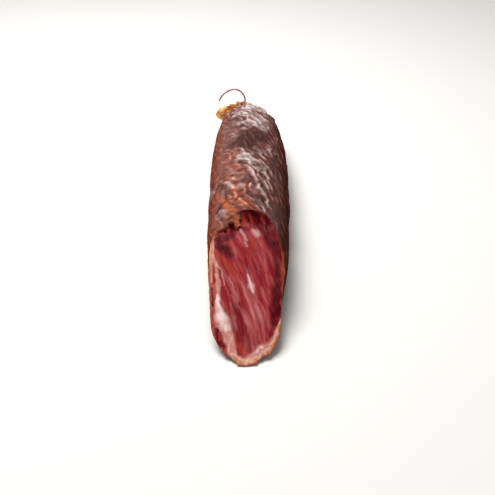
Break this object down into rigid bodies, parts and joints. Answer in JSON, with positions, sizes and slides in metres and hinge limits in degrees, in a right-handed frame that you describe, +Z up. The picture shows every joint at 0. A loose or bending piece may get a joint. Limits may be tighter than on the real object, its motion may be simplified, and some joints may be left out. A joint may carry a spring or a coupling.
{
  "type": "cured pork loin",
  "caption": "Dry-cured pork loin in a wrinkled natural casing, cut obliquely at one end and gathered and tied with string at the other, lying on its flattened side.",
  "frame": {"origin": "on the surface it lies on, under the middle of the box of the loin and its tie", "axes": "+Z up, +Y along the loin from the cut end to the tied end, +X to the right seen from the cut end"},
  "size_m": [0.0706, 0.3488, 0.0615],
  "materials": {
    "casing": "dry wrinkled natural casing, purple-brown with pale bloom on its crests",
    "cut_meat": "moist cut face of cured meat, dark red with pale fat seams",
    "dried_casing": "amber translucent dried casing",
    "twine": "thin twisted cotton string stained red-brown"
  },
  "bodies": {
    "root": {"loin": "casing", "string_tie": "twine", "string_end": "twine"}
  },
  "joints": []
}
